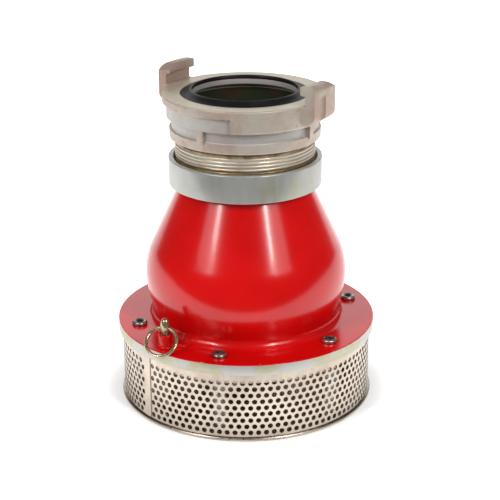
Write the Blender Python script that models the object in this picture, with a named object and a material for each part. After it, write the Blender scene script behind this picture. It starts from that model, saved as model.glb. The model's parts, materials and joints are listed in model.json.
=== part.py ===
"""Foot valve with a claw coupling, a bell housing, a lift valve and a strainer basket.

Units are millimetres in the constants and metres in the scene.  +Z is up, the origin is the centre of
the strainer's underside, and -Y is the front.  Angles round the axis are bearings: 0 is the front and
they grow towards +X.
"""
import math

import bmesh
import bpy
from mathutils import Matrix, Vector

MM = 0.001
GAP = 0.3                      # clearance between pieces that touch
SEGMENTS = 48                  # facets round the large turned pieces
SMALL_SEGMENTS = 12            # facets round bolts, pins and rods

# Strainer basket
BASE_RIM_RADIUS = 118.7
BASE_RIM_WIDTH = 5.0
BASE_RIM_HEIGHT = 3.4
BASE_SHEET = 1.4
BAND_RADIUS = 116.5
BAND_WALL = 0.8

# Flange, gasket and seat plate
FLANGE_RADIUS = 120.0
FLANGE_BORE = 72.5
FLANGE_BOTTOM = 65.5
FLANGE_TOP = 75.5
GASKET_THICKNESS = 1.2
SEAT_PLATE_BOTTOM = 56.0
WATERWAY_RADIUS = 49.0
SEAT_TOP = 69.0
SEAT_OUTER = 56.0
HUB_RADIUS = 15.0
HUB_BOTTOM = 50.0
HUB_TOP = 61.0
BUSH_OUTER = 9.0
SPIDER_ARM_WIDTH = 6.0
SPIDER_BEARINGS = (60.0, 180.0, 300.0)

# Flange screws and the pillars under them
SCREW_CIRCLE = 102.7
SCREW_COUNT = 6
FIRST_SCREW_BEARING = -13.4
M8_RADIUS = 4.0
M6_RADIUS = 3.0
PILLAR_RADIUS = 7.0

# Bell; the casting is split from its flange so that each has its own collision pieces
BELL_FILLET = 10.0             # fillet between the flange's top and the bell's waist
BELL_WAIST_RADIUS = 84.8
BELL_BULGE_RADIUS = 93.0
BELL_TOP_RADIUS = 59.5
BELL_BULGE_HEIGHT = 44.0       # above the flange's top
BELL_SHOULDER_RADIUS = 64.0    # radius of the arc above the bulge
BELL_CONE_ANGLE = 25.4
BELL_WALL = 4.0

# Collar
COLLAR_BOTTOM = 205.3
COLLAR_TOP = 230.8
COLLAR_RADIUS = 69.7
COLLAR_WEB = 4.0
SPIGOT_RADIUS = 63.5

# Claw coupling, with heights from its sealing face
FACE = 288.7
RIM_RADIUS = 74.25
SEAL_POCKET_RADIUS = 58.2
BORE_LIP_RADIUS = 48.2
BORE_LIP_WIDTH = 2.0
COUPLING_INNER_RADIUS = 56.0
CLAW_BEARINGS = (54.9, 234.9)
CLAW_SPREAD = 27.2
CLAW_RADIUS = 84.5
CLAW_HEIGHT = 18.0
LUG_BEARINGS = (-34.0, 56.0, 146.0, 236.0)
LUG_SPREAD = 5.0
THREAD_PITCH = 3.2
THREAD_ROOT_RADIUS = 62.4

# Lift valve, moved by a lever that crosses the strainer under it
LIFT = 18.0
DISC_RADIUS = 57.0
SPINDLE_RADIUS = 6.0
DISC_SEAL_THICKNESS = 4.0
CLAMP_RADIUS = 45.0
CLAMP_THICKNESS = 3.8

# Lever, pull rod and ring
ROD_BEARING = -42.5
ROD_CIRCLE = 106.5
ROD_RADIUS = 2.5
BUSH_RADIUS = 4.5
PIVOT_CIRCLE = 104.0
PIN_RADIUS = 2.5
CHEEK_INSIDE = 5.6
CHEEK_THICKNESS = 2.5
LEVER_HEIGHT = 13.5            # middle of the lever above the ground
LEVER_THICKNESS = 5.0
LEVER_WIDTH = 14.0
BOSS_RADIUS = 6.5
BOSS_HEIGHT = 12.0
EYE_HEIGHT = 93.5
EYE_RADIUS = 2.6
HEAD_RADIUS = 4.0
RING_RADIUS = 14.0
RING_WIRE_RADIUS = 1.65
RING_AXIS_BEARING = 72.5       # bearing of the eye's hole
RING_DROP = 41.5               # degrees that the ring hangs below level


def bearing_point(radius, bearing, height):
    """A point in metres at a radius, a bearing from the front and a height, all in mm and degrees."""
    angle = math.radians(bearing)
    return Vector((radius * math.sin(angle), -radius * math.cos(angle), height)) * MM


def bearing_turn(bearing):
    """The turn about Z that carries +X to a bearing."""
    return Matrix.Rotation(math.radians(bearing - 90.0), 4, "Z")


def clear_scene():
    for thing in list(bpy.data.objects):
        bpy.data.objects.remove(thing, do_unlink=True)


def make_material(name, color, roughness, metallic):
    material = bpy.data.materials.new(name)
    material.use_nodes = True
    shader = material.node_tree.nodes["Principled BSDF"]
    shader.inputs["Base Color"].default_value = (*color, 1.0)
    shader.inputs["Roughness"].default_value = roughness
    shader.inputs["Metallic"].default_value = metallic
    return material


def object_from(bm, name):
    """Close a bmesh into an object with its faces pointing out."""
    bmesh.ops.remove_doubles(bm, verts=bm.verts, dist=1e-6)
    bmesh.ops.recalc_face_normals(bm, faces=bm.faces)
    mesh = bpy.data.meshes.new(name)
    bm.to_mesh(mesh)
    bm.free()
    thing = bpy.data.objects.new(name, mesh)
    bpy.context.scene.collection.objects.link(thing)
    return thing


def finish(thing, material, sharp_angle=35.0):
    thing.data.materials.clear()
    thing.data.materials.append(material)
    thing.data.shade_smooth()
    thing.data.set_sharp_from_angle(angle=math.radians(sharp_angle))
    return thing


def turned(name, outline, segments=SEGMENTS):
    """Turn an outline of (radius, height) points round Z.  It is closed unless it ends on the axis."""
    bm = bmesh.new()
    points = [bm.verts.new((radius * MM, 0.0, height * MM)) for radius, height in outline]
    edges = [bm.edges.new(pair) for pair in zip(points, points[1:])]
    if outline[0][0] > 0.0:
        edges.append(bm.edges.new((points[-1], points[0])))
    bmesh.ops.spin(bm, geom=points + edges, cent=(0, 0, 0), axis=(0, 0, 1),
                   angle=math.tau, steps=segments, use_merge=True)
    return object_from(bm, name)


def sector(name, outline, bearing, spread, steps):
    """A closed outline of (radius, height) points swept round Z over a spread centred on a bearing."""
    bm = bmesh.new()
    face = bm.faces.new([bm.verts.new((radius * MM, 0.0, height * MM)) for radius, height in outline])
    bmesh.ops.rotate(bm, verts=bm.verts, cent=(0, 0, 0),
                     matrix=bearing_turn(bearing - spread / 2.0).to_3x3())
    bmesh.ops.spin(bm, geom=[face], cent=(0, 0, 0), axis=(0, 0, 1),
                   angle=math.radians(spread), steps=steps)
    return object_from(bm, name)


def cylinder(name, radius, bottom, top, segments=SMALL_SEGMENTS):
    return turned(name, [(0.0, bottom), (radius, bottom), (radius, top), (0.0, top)], segments)


def block(name, low, high):
    """A box between two corners in mm."""
    bm = bmesh.new()
    bmesh.ops.create_cube(bm, size=1.0)
    low, high = Vector(low) * MM, Vector(high) * MM
    bmesh.ops.scale(bm, vec=high - low, verts=bm.verts)
    bmesh.ops.translate(bm, vec=(low + high) / 2.0, verts=bm.verts)
    return object_from(bm, name)


def prism(name, outline, bottom, top):
    """A closed outline of (x, y) points in mm, extruded from one height to another."""
    bm = bmesh.new()
    face = bm.faces.new([bm.verts.new((x * MM, y * MM, bottom * MM)) for x, y in outline])
    side = bmesh.ops.extrude_face_region(bm, geom=[face])
    moved = [item for item in side["geom"] if isinstance(item, bmesh.types.BMVert)]
    bmesh.ops.translate(bm, vec=(0, 0, (top - bottom) * MM), verts=moved)
    return object_from(bm, name)


def shift(thing, matrix):
    """Move a mesh's points, leaving the object's own place alone."""
    thing.data.transform(matrix)
    return thing


def at_bearing(thing, radius, bearing):
    """Carry a mesh made on the Z axis out to a radius on a bearing, turned to face out."""
    return shift(thing, Matrix.Translation(bearing_point(radius, bearing, 0.0)) @ bearing_turn(bearing))


def combine(thing, others, operation):
    """Add or take away other shapes with exact Booleans and keep the finished mesh."""
    for other in others:
        step = thing.modifiers.new(operation.lower(), "BOOLEAN")
        step.operation = operation
        step.solver = "EXACT"
        step.object = other
        other.hide_render = True
        other.display_type = "WIRE"
    graph = bpy.context.evaluated_depsgraph_get()
    graph.update()
    result = bpy.data.meshes.new_from_object(thing.evaluated_get(graph))
    thing.modifiers.clear()
    thing.data = result
    for other in others:
        bpy.data.objects.remove(other, do_unlink=True)
    return thing


def put(thing, parent, place):
    """Give a finished mesh its origin at a place, under a parent, without moving the shape."""
    thing.data.transform(Matrix.Translation(-place))
    thing.location = place
    if parent is not None:
        thing.parent = parent
        thing.matrix_parent_inverse = Matrix.Translation(-parent.location)
    return thing


def pivot(name, place):
    empty = bpy.data.objects.new(name, None)
    empty.location = place
    bpy.context.scene.collection.objects.link(empty)
    return empty


def arc(center, radii, start, stop, steps):
    """Points on an ellipse in the (radius, height) plane, from one angle to another in degrees."""
    points = []
    for index in range(steps + 1):
        angle = math.radians(start + (stop - start) * index / steps)
        points.append((center[0] + radii[0] * math.cos(angle), center[1] + radii[1] * math.sin(angle)))
    return points


def bezier(start, pull_start, pull_stop, stop, steps):
    points = []
    for index in range(steps + 1):
        t = index / steps
        weights = ((1 - t) ** 3, 3 * t * (1 - t) ** 2, 3 * t * t * (1 - t), t ** 3)
        points.append(tuple(sum(weight * point[axis] for weight, point in
                                zip(weights, (start, pull_start, pull_stop, stop))) for axis in (0, 1)))
    return points


# ---------------------------------------------------------------- housing

def bell_outline():
    """The bell's outside, bottom to top: fillet on to the flange, waist, bulge, then a straight cone."""
    waist = (BELL_WAIST_RADIUS, FLANGE_TOP + BELL_FILLET)
    bulge = (BELL_BULGE_RADIUS, FLANGE_TOP + BELL_BULGE_HEIGHT)
    start = 270.0 - math.degrees(math.acos(1.0 - GAP / BELL_FILLET))
    points = arc((waist[0] + BELL_FILLET, waist[1]), (BELL_FILLET,) * 2, start, 180.0, 3)
    points += bezier(waist, (waist[0] + 4.2, waist[1] + 8.0), (bulge[0], bulge[1] - 15.0), bulge, 6)[1:]
    center = (bulge[0] - BELL_SHOULDER_RADIUS, bulge[1])
    points += arc(center, (BELL_SHOULDER_RADIUS,) * 2, 0.0, BELL_CONE_ANGLE, 3)[1:]
    points.append((BELL_TOP_RADIUS, COLLAR_BOTTOM - GAP))
    return points


def offset_inward(points, wall):
    """The same curve moved in by the wall's thickness, with its ends kept at their heights."""
    inner = []
    for index, (radius, height) in enumerate(points):
        before = points[max(index - 1, 0)]
        after = points[min(index + 1, len(points) - 1)]
        run = Vector((after[0] - before[0], after[1] - before[1])).normalized()
        inner.append([radius - wall * run.y, height + wall * run.x])
    inner[0] = [inner[1][0], points[0][1]]
    inner[-1][1] = points[-1][1]
    return [tuple(point) for point in inner]


def make_bell():
    outside = bell_outline()
    start = next(index for index, point in enumerate(outside) if point[1] >= FLANGE_TOP + BELL_FILLET)
    inside = offset_inward(outside[start:], BELL_WALL)
    inside[0] = (BELL_WAIST_RADIUS - BELL_WALL, FLANGE_TOP + GAP)
    return turned("bell_body", outside + inside[::-1])


def screw_bearings():
    return [FIRST_SCREW_BEARING + 360.0 / SCREW_COUNT * index for index in range(SCREW_COUNT)]


def through_holes(bottom, top):
    """Cutters for the screw holes and for the pull rod's bush."""
    cutters = [at_bearing(cylinder("hole", M8_RADIUS + GAP, bottom, top), SCREW_CIRCLE, bearing)
               for bearing in screw_bearings()]
    cutters.append(at_bearing(cylinder("hole", BUSH_RADIUS + GAP, bottom, top, 16),
                              ROD_CIRCLE, ROD_BEARING))
    return cutters


def make_flange():
    edge = 0.6
    plate = turned("flange_plate", [(FLANGE_BORE, FLANGE_BOTTOM), (FLANGE_RADIUS - edge, FLANGE_BOTTOM),
                                    (FLANGE_RADIUS, FLANGE_BOTTOM + edge), (FLANGE_RADIUS, FLANGE_TOP - edge),
                                    (FLANGE_RADIUS - edge, FLANGE_TOP), (FLANGE_BORE, FLANGE_TOP)])
    return combine(plate, through_holes(FLANGE_BOTTOM - 2.0, FLANGE_TOP + 2.0), "DIFFERENCE")


def make_flange_gasket():
    bottom = FLANGE_BOTTOM - GAP - GASKET_THICKNESS
    return turned("flange_gasket", [(74.0, bottom), (97.0, bottom),
                                    (97.0, FLANGE_BOTTOM - GAP), (74.0, FLANGE_BOTTOM - GAP)], 24)


def make_seat_plate():
    """Plate with a raised valve seat, and a three-armed spider that holds the guide bush."""
    top = FLANGE_BOTTOM - 2 * GAP - GASKET_THICKNESS
    outer = BAND_RADIUS - BAND_WALL - GAP
    plate = turned("seat_plate", [(WATERWAY_RADIUS, SEAT_PLATE_BOTTOM), (outer, SEAT_PLATE_BOTTOM),
                                  (outer, top), (SEAT_OUTER + 4.0, top), (SEAT_OUTER, SEAT_TOP - 1.5),
                                  (SEAT_OUTER, SEAT_TOP), (WATERWAY_RADIUS + 2.0, SEAT_TOP),
                                  (WATERWAY_RADIUS, SEAT_TOP - 2.0)])
    combine(plate, through_holes(SEAT_PLATE_BOTTOM - 2.0, top + 2.0), "DIFFERENCE")
    half = SPIDER_ARM_WIDTH / 2.0
    arms = []
    for bearing in SPIDER_BEARINGS:
        arm = block("arm", (HUB_RADIUS - 3.0, -half, HUB_BOTTOM + 3.0),
                    (WATERWAY_RADIUS + 3.0, half, HUB_TOP - 0.5))
        arms.append(shift(arm, bearing_turn(bearing)))
    hub = turned("hub", [(BUSH_OUTER + GAP, HUB_BOTTOM), (HUB_RADIUS, HUB_BOTTOM),
                         (HUB_RADIUS, HUB_TOP), (BUSH_OUTER + GAP, HUB_TOP)], 24)
    return combine(plate, [hub] + arms, "UNION")


def make_guide_bush():
    inner = SPINDLE_RADIUS + GAP
    return turned("guide_bush", [(inner, HUB_BOTTOM - 0.5), (BUSH_OUTER, HUB_BOTTOM - 0.5),
                                 (BUSH_OUTER, HUB_TOP + 0.4), (inner, HUB_TOP + 0.4)], 24)


def make_collar():
    """Zinc-plated ring with a web at its foot that carries the spigot gasket."""
    bore = SPIGOT_RADIUS + 0.4
    web_bore = 56.0
    return turned("threaded_collar", [
        (web_bore, COLLAR_BOTTOM), (COLLAR_RADIUS - 0.8, COLLAR_BOTTOM),
        (COLLAR_RADIUS, COLLAR_BOTTOM + 0.8), (COLLAR_RADIUS, COLLAR_TOP - 1.0),
        (COLLAR_RADIUS - 1.0, COLLAR_TOP), (bore + 1.6, COLLAR_TOP), (bore, COLLAR_TOP - 2.4),
        (bore, COLLAR_BOTTOM + COLLAR_WEB), (web_bore, COLLAR_BOTTOM + COLLAR_WEB)])


def spigot_bottom():
    return COLLAR_BOTTOM + COLLAR_WEB + 2 * GAP + 2.0


def make_spigot_gasket():
    bottom, top = COLLAR_BOTTOM + COLLAR_WEB + GAP, spigot_bottom() - GAP
    return turned("spigot_gasket", [(57.0, bottom), (62.8, bottom), (62.8, top), (57.0, top)], 24)


# ---------------------------------------------------------------- coupling

def coupling_outline():
    """Section of the coupling head without its lugs, pockets and claws."""
    lip = BORE_LIP_RADIUS + BORE_LIP_WIDTH
    outline = [(BORE_LIP_RADIUS, -9.0), (BORE_LIP_RADIUS, -0.4), (lip, -0.4), (lip, -3.0),
               (SEAL_POCKET_RADIUS, -3.0),
               (SEAL_POCKET_RADIUS, -0.5), (SEAL_POCKET_RADIUS + 0.5, 0.0), (RIM_RADIUS - 0.9, 0.0),
               (RIM_RADIUS, -0.9), (RIM_RADIUS, -6.9), (RIM_RADIUS - 0.3, -7.2),
               (RIM_RADIUS - 0.3, -18.7), (72.4, -20.2), (70.3, -20.2), (70.3, -32.2),
               (69.0, -32.2), (69.0, -38.4), (68.0, -39.4)]
    height = -39.4
    for _ in range(6):
        outline += [(THREAD_ROOT_RADIUS, height), (THREAD_ROOT_RADIUS, height - 0.8),
                    (SPIGOT_RADIUS, height - 1.5), (SPIGOT_RADIUS, height - 2.5)]
        height -= THREAD_PITCH
    bottom = spigot_bottom() - FACE
    outline += [(THREAD_ROOT_RADIUS, height), (THREAD_ROOT_RADIUS, height - 0.8),
                (SPIGOT_RADIUS, height - 1.5), (SPIGOT_RADIUS, bottom + 1.0),
                (SPIGOT_RADIUS - 1.0, bottom), (COUPLING_INNER_RADIUS, bottom),
                (COUPLING_INNER_RADIUS, -13.0)]
    return [(radius, FACE + height) for radius, height in outline]


def face_sector(name, outline, bearing, spread, steps):
    return sector(name, [(radius, FACE + height) for radius, height in outline], bearing, spread, steps)


def make_claw(bearing):
    """An L-shaped hook: a wall outside the rim with a lip that reaches back over it."""
    return face_sector("claw", [(71.0, -16.0), (82.0, -16.0), (CLAW_RADIUS, -11.0),
                                (CLAW_RADIUS, CLAW_HEIGHT - 3.0), (CLAW_RADIUS - 2.5, CLAW_HEIGHT),
                                (73.0, CLAW_HEIGHT - 0.6), (73.0, 9.5), (77.5, 9.0), (77.5, -0.4),
                                (71.0, -0.4)], bearing, CLAW_SPREAD, 4)


def make_coupling():
    head = turned("coupling_head", coupling_outline())
    cutters = []
    for bearing in (-60.7, 119.3):
        cutters.append(face_sector("undercut", [(71.0, -18.9), (80.0, -18.9), (80.0, -7.0), (71.0, -7.0)],
                                   bearing, 101.5, 10))
    pocket_spread = 90.0 - LUG_SPREAD
    for bearing in LUG_BEARINGS:
        cutters.append(face_sector("pocket", [(66.0, -32.0), (80.0, -32.0), (80.0, -20.6), (66.0, -20.6)],
                                   bearing + 45.0, pocket_spread, 8))
    combine(head, cutters, "DIFFERENCE")
    return combine(head, [make_claw(bearing) for bearing in CLAW_BEARINGS], "UNION")


def make_coupling_seal():
    """Rubber ring that slopes up to a raised inner lip, which laps over the bore's lip."""
    inner, outer = BORE_LIP_RADIUS + BORE_LIP_WIDTH + GAP, SEAL_POCKET_RADIUS - GAP
    outline = [(inner, -2.7), (outer, -2.7), (outer, -0.9), (53.5, 0.5), (50.0, 3.0), (48.6, 3.5),
               (47.6, 3.1), (47.4, 0.0), (inner, 0.0)]
    return turned("coupling_seal", [(radius, FACE + height) for radius, height in outline])


# ---------------------------------------------------------------- strainer basket

def make_strainer_band():
    inner = BAND_RADIUS - BAND_WALL
    bottom, top = BASE_RIM_HEIGHT + GAP, FLANGE_BOTTOM - GAP
    return turned("strainer_band", [(inner, bottom), (BAND_RADIUS, bottom),
                                    (BAND_RADIUS, top), (inner, top)])


def make_strainer_base():
    """Floor sheet with a rolled rim that the valve stands on."""
    sheet_bottom = BASE_RIM_HEIGHT - BASE_SHEET
    inner = BASE_RIM_RADIUS - BASE_RIM_WIDTH
    base = turned("strainer_base", [
        (0.0, sheet_bottom), (inner, sheet_bottom), (inner + 0.8, 0.0), (BASE_RIM_RADIUS - 1.2, 0.0),
        (BASE_RIM_RADIUS, 1.2), (BASE_RIM_RADIUS, BASE_RIM_HEIGHT - 1.2),
        (BASE_RIM_RADIUS - 1.2, BASE_RIM_HEIGHT), (0.0, BASE_RIM_HEIGHT)])
    holes = [at_bearing(cylinder("hole", M6_RADIUS + GAP, -1.0, 6.0), SCREW_CIRCLE, bearing)
             for bearing in screw_bearings()]
    return combine(base, holes, "DIFFERENCE")


def make_flange_screw_mesh():
    """Button-head hexagon-socket screw, standing on its own axis at the flange's height."""
    seat = FLANGE_TOP + GAP
    crown = [(7.0, seat + 1.2), (6.0, seat + 3.0), (4.2, seat + 4.0)]
    screw = turned("screw", [(0.0, 36.0), (M8_RADIUS - 0.8, 36.0), (M8_RADIUS, 36.8),
                             (M8_RADIUS, seat), (7.0, seat)] + crown + [(0.0, seat + 4.0)],
                   SMALL_SEGMENTS)
    socket = turned("socket", [(0.0, seat + 1.4), (2.9, seat + 1.4), (2.9, seat + 6.0),
                               (0.0, seat + 6.0)], 6)
    return combine(screw, [socket], "DIFFERENCE")


def make_pillar_mesh():
    """Round distance pillar, tapped M8 from above and M6 from below."""
    bottom, top = BASE_RIM_HEIGHT + GAP, SEAT_PLATE_BOTTOM - GAP
    return turned("pillar", [(0.0, 34.0), (M8_RADIUS + GAP, 34.0), (M8_RADIUS + GAP, top),
                             (PILLAR_RADIUS, top), (PILLAR_RADIUS, bottom),
                             (M6_RADIUS + GAP, bottom), (M6_RADIUS + GAP, 17.0), (0.0, 17.0)],
                  SMALL_SEGMENTS)


def make_base_screw_mesh():
    """Low cheese-head screw whose head stays inside the rim's height."""
    under_sheet = BASE_RIM_HEIGHT - BASE_SHEET - GAP
    return turned("screw", [(0.0, 0.3), (4.4, 0.3), (5.0, 0.8), (5.0, under_sheet),
                            (M6_RADIUS, under_sheet), (M6_RADIUS, 15.0), (0.0, 15.0)],
                  SMALL_SEGMENTS)


def ring_of_copies(name, pattern, material):
    """Copies of one fastener on the screw circle, each its own object with its own finished mesh."""
    for index, bearing in enumerate(screw_bearings()):
        copy = bpy.data.objects.new(f"{name}_{index + 1}", pattern.data.copy())
        bpy.context.scene.collection.objects.link(copy)
        finish(at_bearing(copy, SCREW_CIRCLE, bearing), material)
    bpy.data.objects.remove(pattern, do_unlink=True)


# ---------------------------------------------------------------- lift valve

def disc_bottom():
    return SEAT_TOP + 2 * GAP + DISC_SEAL_THICKNESS


def make_valve_disc():
    bottom = disc_bottom()
    hole = SPINDLE_RADIUS + GAP
    return turned("valve_disc", [(hole, bottom), (DISC_RADIUS, bottom), (DISC_RADIUS, bottom + 3.5),
                                 (DISC_RADIUS - 2.5, bottom + 5.0), (22.0, bottom + 6.5),
                                 (15.0, bottom + 10.5), (hole, bottom + 10.5)], 36)


def make_disc_seal():
    hole = SPINDLE_RADIUS + GAP
    bottom, top = SEAT_TOP + GAP, disc_bottom() - GAP
    return turned("disc_seal", [(hole, bottom), (DISC_RADIUS + 0.5, bottom),
                                (DISC_RADIUS + 0.5, top), (hole, top)], 36)


def make_seal_clamp():
    hole = SPINDLE_RADIUS + GAP
    bottom = SEAT_TOP - CLAMP_THICKNESS
    return turned("seal_clamp", [(hole, bottom), (CLAMP_RADIUS - 2.0, bottom),
                                 (CLAMP_RADIUS, bottom + 1.5), (CLAMP_RADIUS, SEAT_TOP),
                                 (hole, SEAT_TOP)], 36)


def spindle_tip():
    return LEVER_HEIGHT + LEVER_THICKNESS / 2.0 + 0.4


def make_spindle():
    """Rod with a domed foot, a shoulder under the clamp plate and a thread for the nut."""
    tip = spindle_tip()
    shoulder_top = SEAT_TOP - CLAMP_THICKNESS - GAP
    dome = arc((0.0, tip + SPINDLE_RADIUS), (SPINDLE_RADIUS,) * 2, -90.0, 0.0, 5)
    dome[0] = (0.0, tip)
    return turned("spindle", dome + [(SPINDLE_RADIUS, HUB_TOP + 0.7), (BUSH_OUTER, HUB_TOP + 0.7),
                                     (BUSH_OUTER, shoulder_top), (SPINDLE_RADIUS, shoulder_top),
                                     (SPINDLE_RADIUS, 95.0), (SPINDLE_RADIUS - 1.0, 96.0),
                                     (0.0, 96.0)], 24)


def make_hex_nut(name, across_flats, bottom, top):
    corner = across_flats / math.sqrt(3.0)
    nut = turned(name, [(0.0, bottom), (corner, bottom), (corner, top), (0.0, top)], 6)
    bore = cylinder("bore", SPINDLE_RADIUS + GAP, bottom - 1.0, top + 1.0, 24)
    return combine(nut, [bore], "DIFFERENCE")


# ---------------------------------------------------------------- lever, rod and ring

def make_lever():
    """Flat bar across the strainer: pivot eye at the back, forked end round the pull rod."""
    half = LEVER_WIDTH / 2.0
    reach = ROD_CIRCLE + 6.3
    fork = ROD_RADIUS + 0.5
    slot_end = ROD_CIRCLE - 4.5
    outline = [(-PIVOT_CIRCLE + 4.0, -5.0), (-PIVOT_CIRCLE + 16.0, -half), (slot_end, -half),
               (reach, -half + 1.0), (reach, -fork), (slot_end, -fork), (slot_end, fork), (reach, fork),
               (reach, half - 1.0), (slot_end, half), (-PIVOT_CIRCLE + 16.0, half),
               (-PIVOT_CIRCLE + 4.0, 5.0)]
    bar = prism("drain_lever", outline, LEVER_HEIGHT - LEVER_THICKNESS / 2.0,
                LEVER_HEIGHT + LEVER_THICKNESS / 2.0)
    barrel = crosswise(cylinder("barrel", 5.5, -5.0, 5.0, 24))
    combine(bar, [barrel], "UNION")
    combine(bar, [crosswise(cylinder("bore", PIN_RADIUS + GAP, -9.0, 9.0, 16))], "DIFFERENCE")
    return shift(bar, bearing_turn(ROD_BEARING))


def crosswise(thing):
    """Lay a shape made on the Z axis across the lever, through its pivot."""
    place = Matrix.Translation(Vector((-PIVOT_CIRCLE, 0.0, LEVER_HEIGHT)) * MM)
    return shift(thing, place @ Matrix.Rotation(math.pi / 2.0, 4, "X"))


def make_lever_bracket():
    """U-shaped hanger under the seat plate, with a cheek on each side of the lever."""
    top = SEAT_PLATE_BOTTOM - GAP
    outer = CHEEK_INSIDE + CHEEK_THICKNESS
    back, front = -PIVOT_CIRCLE - 6.0, -PIVOT_CIRCLE + 6.0
    bracket = block("lever_bracket", (back, -outer - 4.0, top - 3.0), (front, outer + 4.0, top))
    cheeks = []
    for side in (-1.0, 1.0):
        low, high = sorted((side * CHEEK_INSIDE, side * outer))
        cheeks.append(block("cheek", (back + 1.0, low, LEVER_HEIGHT - 6.5),
                            (front - 1.0, high, top - 1.5)))
    combine(bracket, cheeks, "UNION")
    combine(bracket, [crosswise(cylinder("bore", PIN_RADIUS + GAP, -14.0, 14.0, 16))], "DIFFERENCE")
    return shift(bracket, bearing_turn(ROD_BEARING))


def make_lever_pin():
    """Headed pin through both cheeks."""
    outer = CHEEK_INSIDE + CHEEK_THICKNESS
    pin = turned("lever_pin", [(0.0, -outer - 2.0), (PIN_RADIUS, -outer - 2.0),
                               (PIN_RADIUS, outer + GAP), (4.2, outer + GAP),
                               (4.2, outer + 1.8), (0.0, outer + 1.8)], 16)
    return shift(crosswise(pin), bearing_turn(ROD_BEARING))


def make_rod_boss():
    """Round guide boss that stands on the flange."""
    bottom, top = FLANGE_TOP + GAP, FLANGE_TOP + BOSS_HEIGHT
    bore = BUSH_RADIUS + GAP
    boss = turned("rod_boss", [(bore, bottom), (BOSS_RADIUS + 1.5, bottom), (BOSS_RADIUS, bottom + 1.6),
                               (BOSS_RADIUS, top - 0.8), (BOSS_RADIUS - 0.8, top), (bore, top)], 32)
    return at_bearing(boss, ROD_CIRCLE, ROD_BEARING)


def make_rod_bush():
    """Brass sleeve through the boss, the flange and the seat plate."""
    inner = ROD_RADIUS + GAP
    bottom, top = SEAT_PLATE_BOTTOM - 0.2, FLANGE_TOP + BOSS_HEIGHT - 0.3
    bush = turned("rod_bush", [(inner, bottom), (BUSH_RADIUS, bottom), (BUSH_RADIUS, top),
                               (inner, top)], 24)
    return at_bearing(bush, ROD_CIRCLE, ROD_BEARING)


def nut_top():
    return LEVER_HEIGHT - LEVER_THICKNESS / 2.0 - GAP


def make_pull_rod():
    """Rod with an acorn head that an eye passes through."""
    neck = FLANGE_TOP + BOSS_HEIGHT + 0.3
    acorn = [(3.4, neck), (3.4, neck + 2.6), (HEAD_RADIUS, neck + 3.6), (HEAD_RADIUS + 0.4, neck + 6.5),
             (HEAD_RADIUS, neck + 10.5), (3.0, neck + 13.2), (1.5, neck + 14.4)]
    rod = turned("pull_rod", [(0.0, nut_top() - 5.2), (ROD_RADIUS, nut_top() - 5.2), (ROD_RADIUS, neck)]
                 + acorn + [(0.0, neck + 14.7)], 24)
    hole = cylinder("eye", EYE_RADIUS, -8.0, 8.0, 16)
    turn = bearing_turn(RING_AXIS_BEARING - ROD_BEARING + 90.0) @ Matrix.Rotation(math.pi / 2.0, 4, "Y")
    shift(hole, Matrix.Translation(Vector((0.0, 0.0, EYE_HEIGHT)) * MM) @ turn)
    combine(rod, [hole], "DIFFERENCE")
    return at_bearing(rod, ROD_CIRCLE, ROD_BEARING)


def make_rod_nut():
    """Nut with a spherical top that the lever's fork rests on."""
    top, radius = nut_top(), 5.5
    bore = ROD_RADIUS + GAP
    start = math.degrees(math.asin(bore / radius))
    dome = arc((0.0, top - radius), (radius, radius), 90.0 - start, 0.0, 6)
    nut = turned("rod_nut", dome + [(bore, top - radius)], 24)
    return at_bearing(nut, ROD_CIRCLE, ROD_BEARING)


def ring_axis():
    return bearing_point(1.0 / MM, RING_AXIS_BEARING, 0.0)


def eye_center():
    return bearing_point(ROD_CIRCLE, ROD_BEARING, EYE_HEIGHT)


def make_pull_ring():
    """Wire ring threaded through the rod's eye, hanging over the flange's edge."""
    axis = ring_axis()
    level = bearing_point(1.0 / MM, RING_AXIS_BEARING - 90.0, 0.0)
    drop = math.radians(RING_DROP)
    hang = level * math.cos(drop) - Vector((0, 0, 1)) * math.sin(drop)
    bm = bmesh.new()
    circle = bmesh.ops.create_circle(bm, radius=RING_WIRE_RADIUS * MM, segments=10)["verts"]
    bmesh.ops.rotate(bm, verts=circle, cent=(0, 0, 0), matrix=Matrix.Rotation(math.pi / 2.0, 3, "X"))
    bmesh.ops.translate(bm, verts=circle, vec=(RING_RADIUS * MM, 0, 0))
    bmesh.ops.spin(bm, geom=bm.verts[:] + bm.edges[:], cent=(0, 0, 0), axis=(0, 0, 1),
                   angle=math.tau, steps=36, use_merge=True)
    ring = object_from(bm, "pull_ring")
    frame = Matrix((hang, axis, hang.cross(axis))).transposed().to_4x4()
    middle = eye_center() + hang * RING_RADIUS * MM
    return shift(ring, Matrix.Translation(middle) @ frame)


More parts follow.
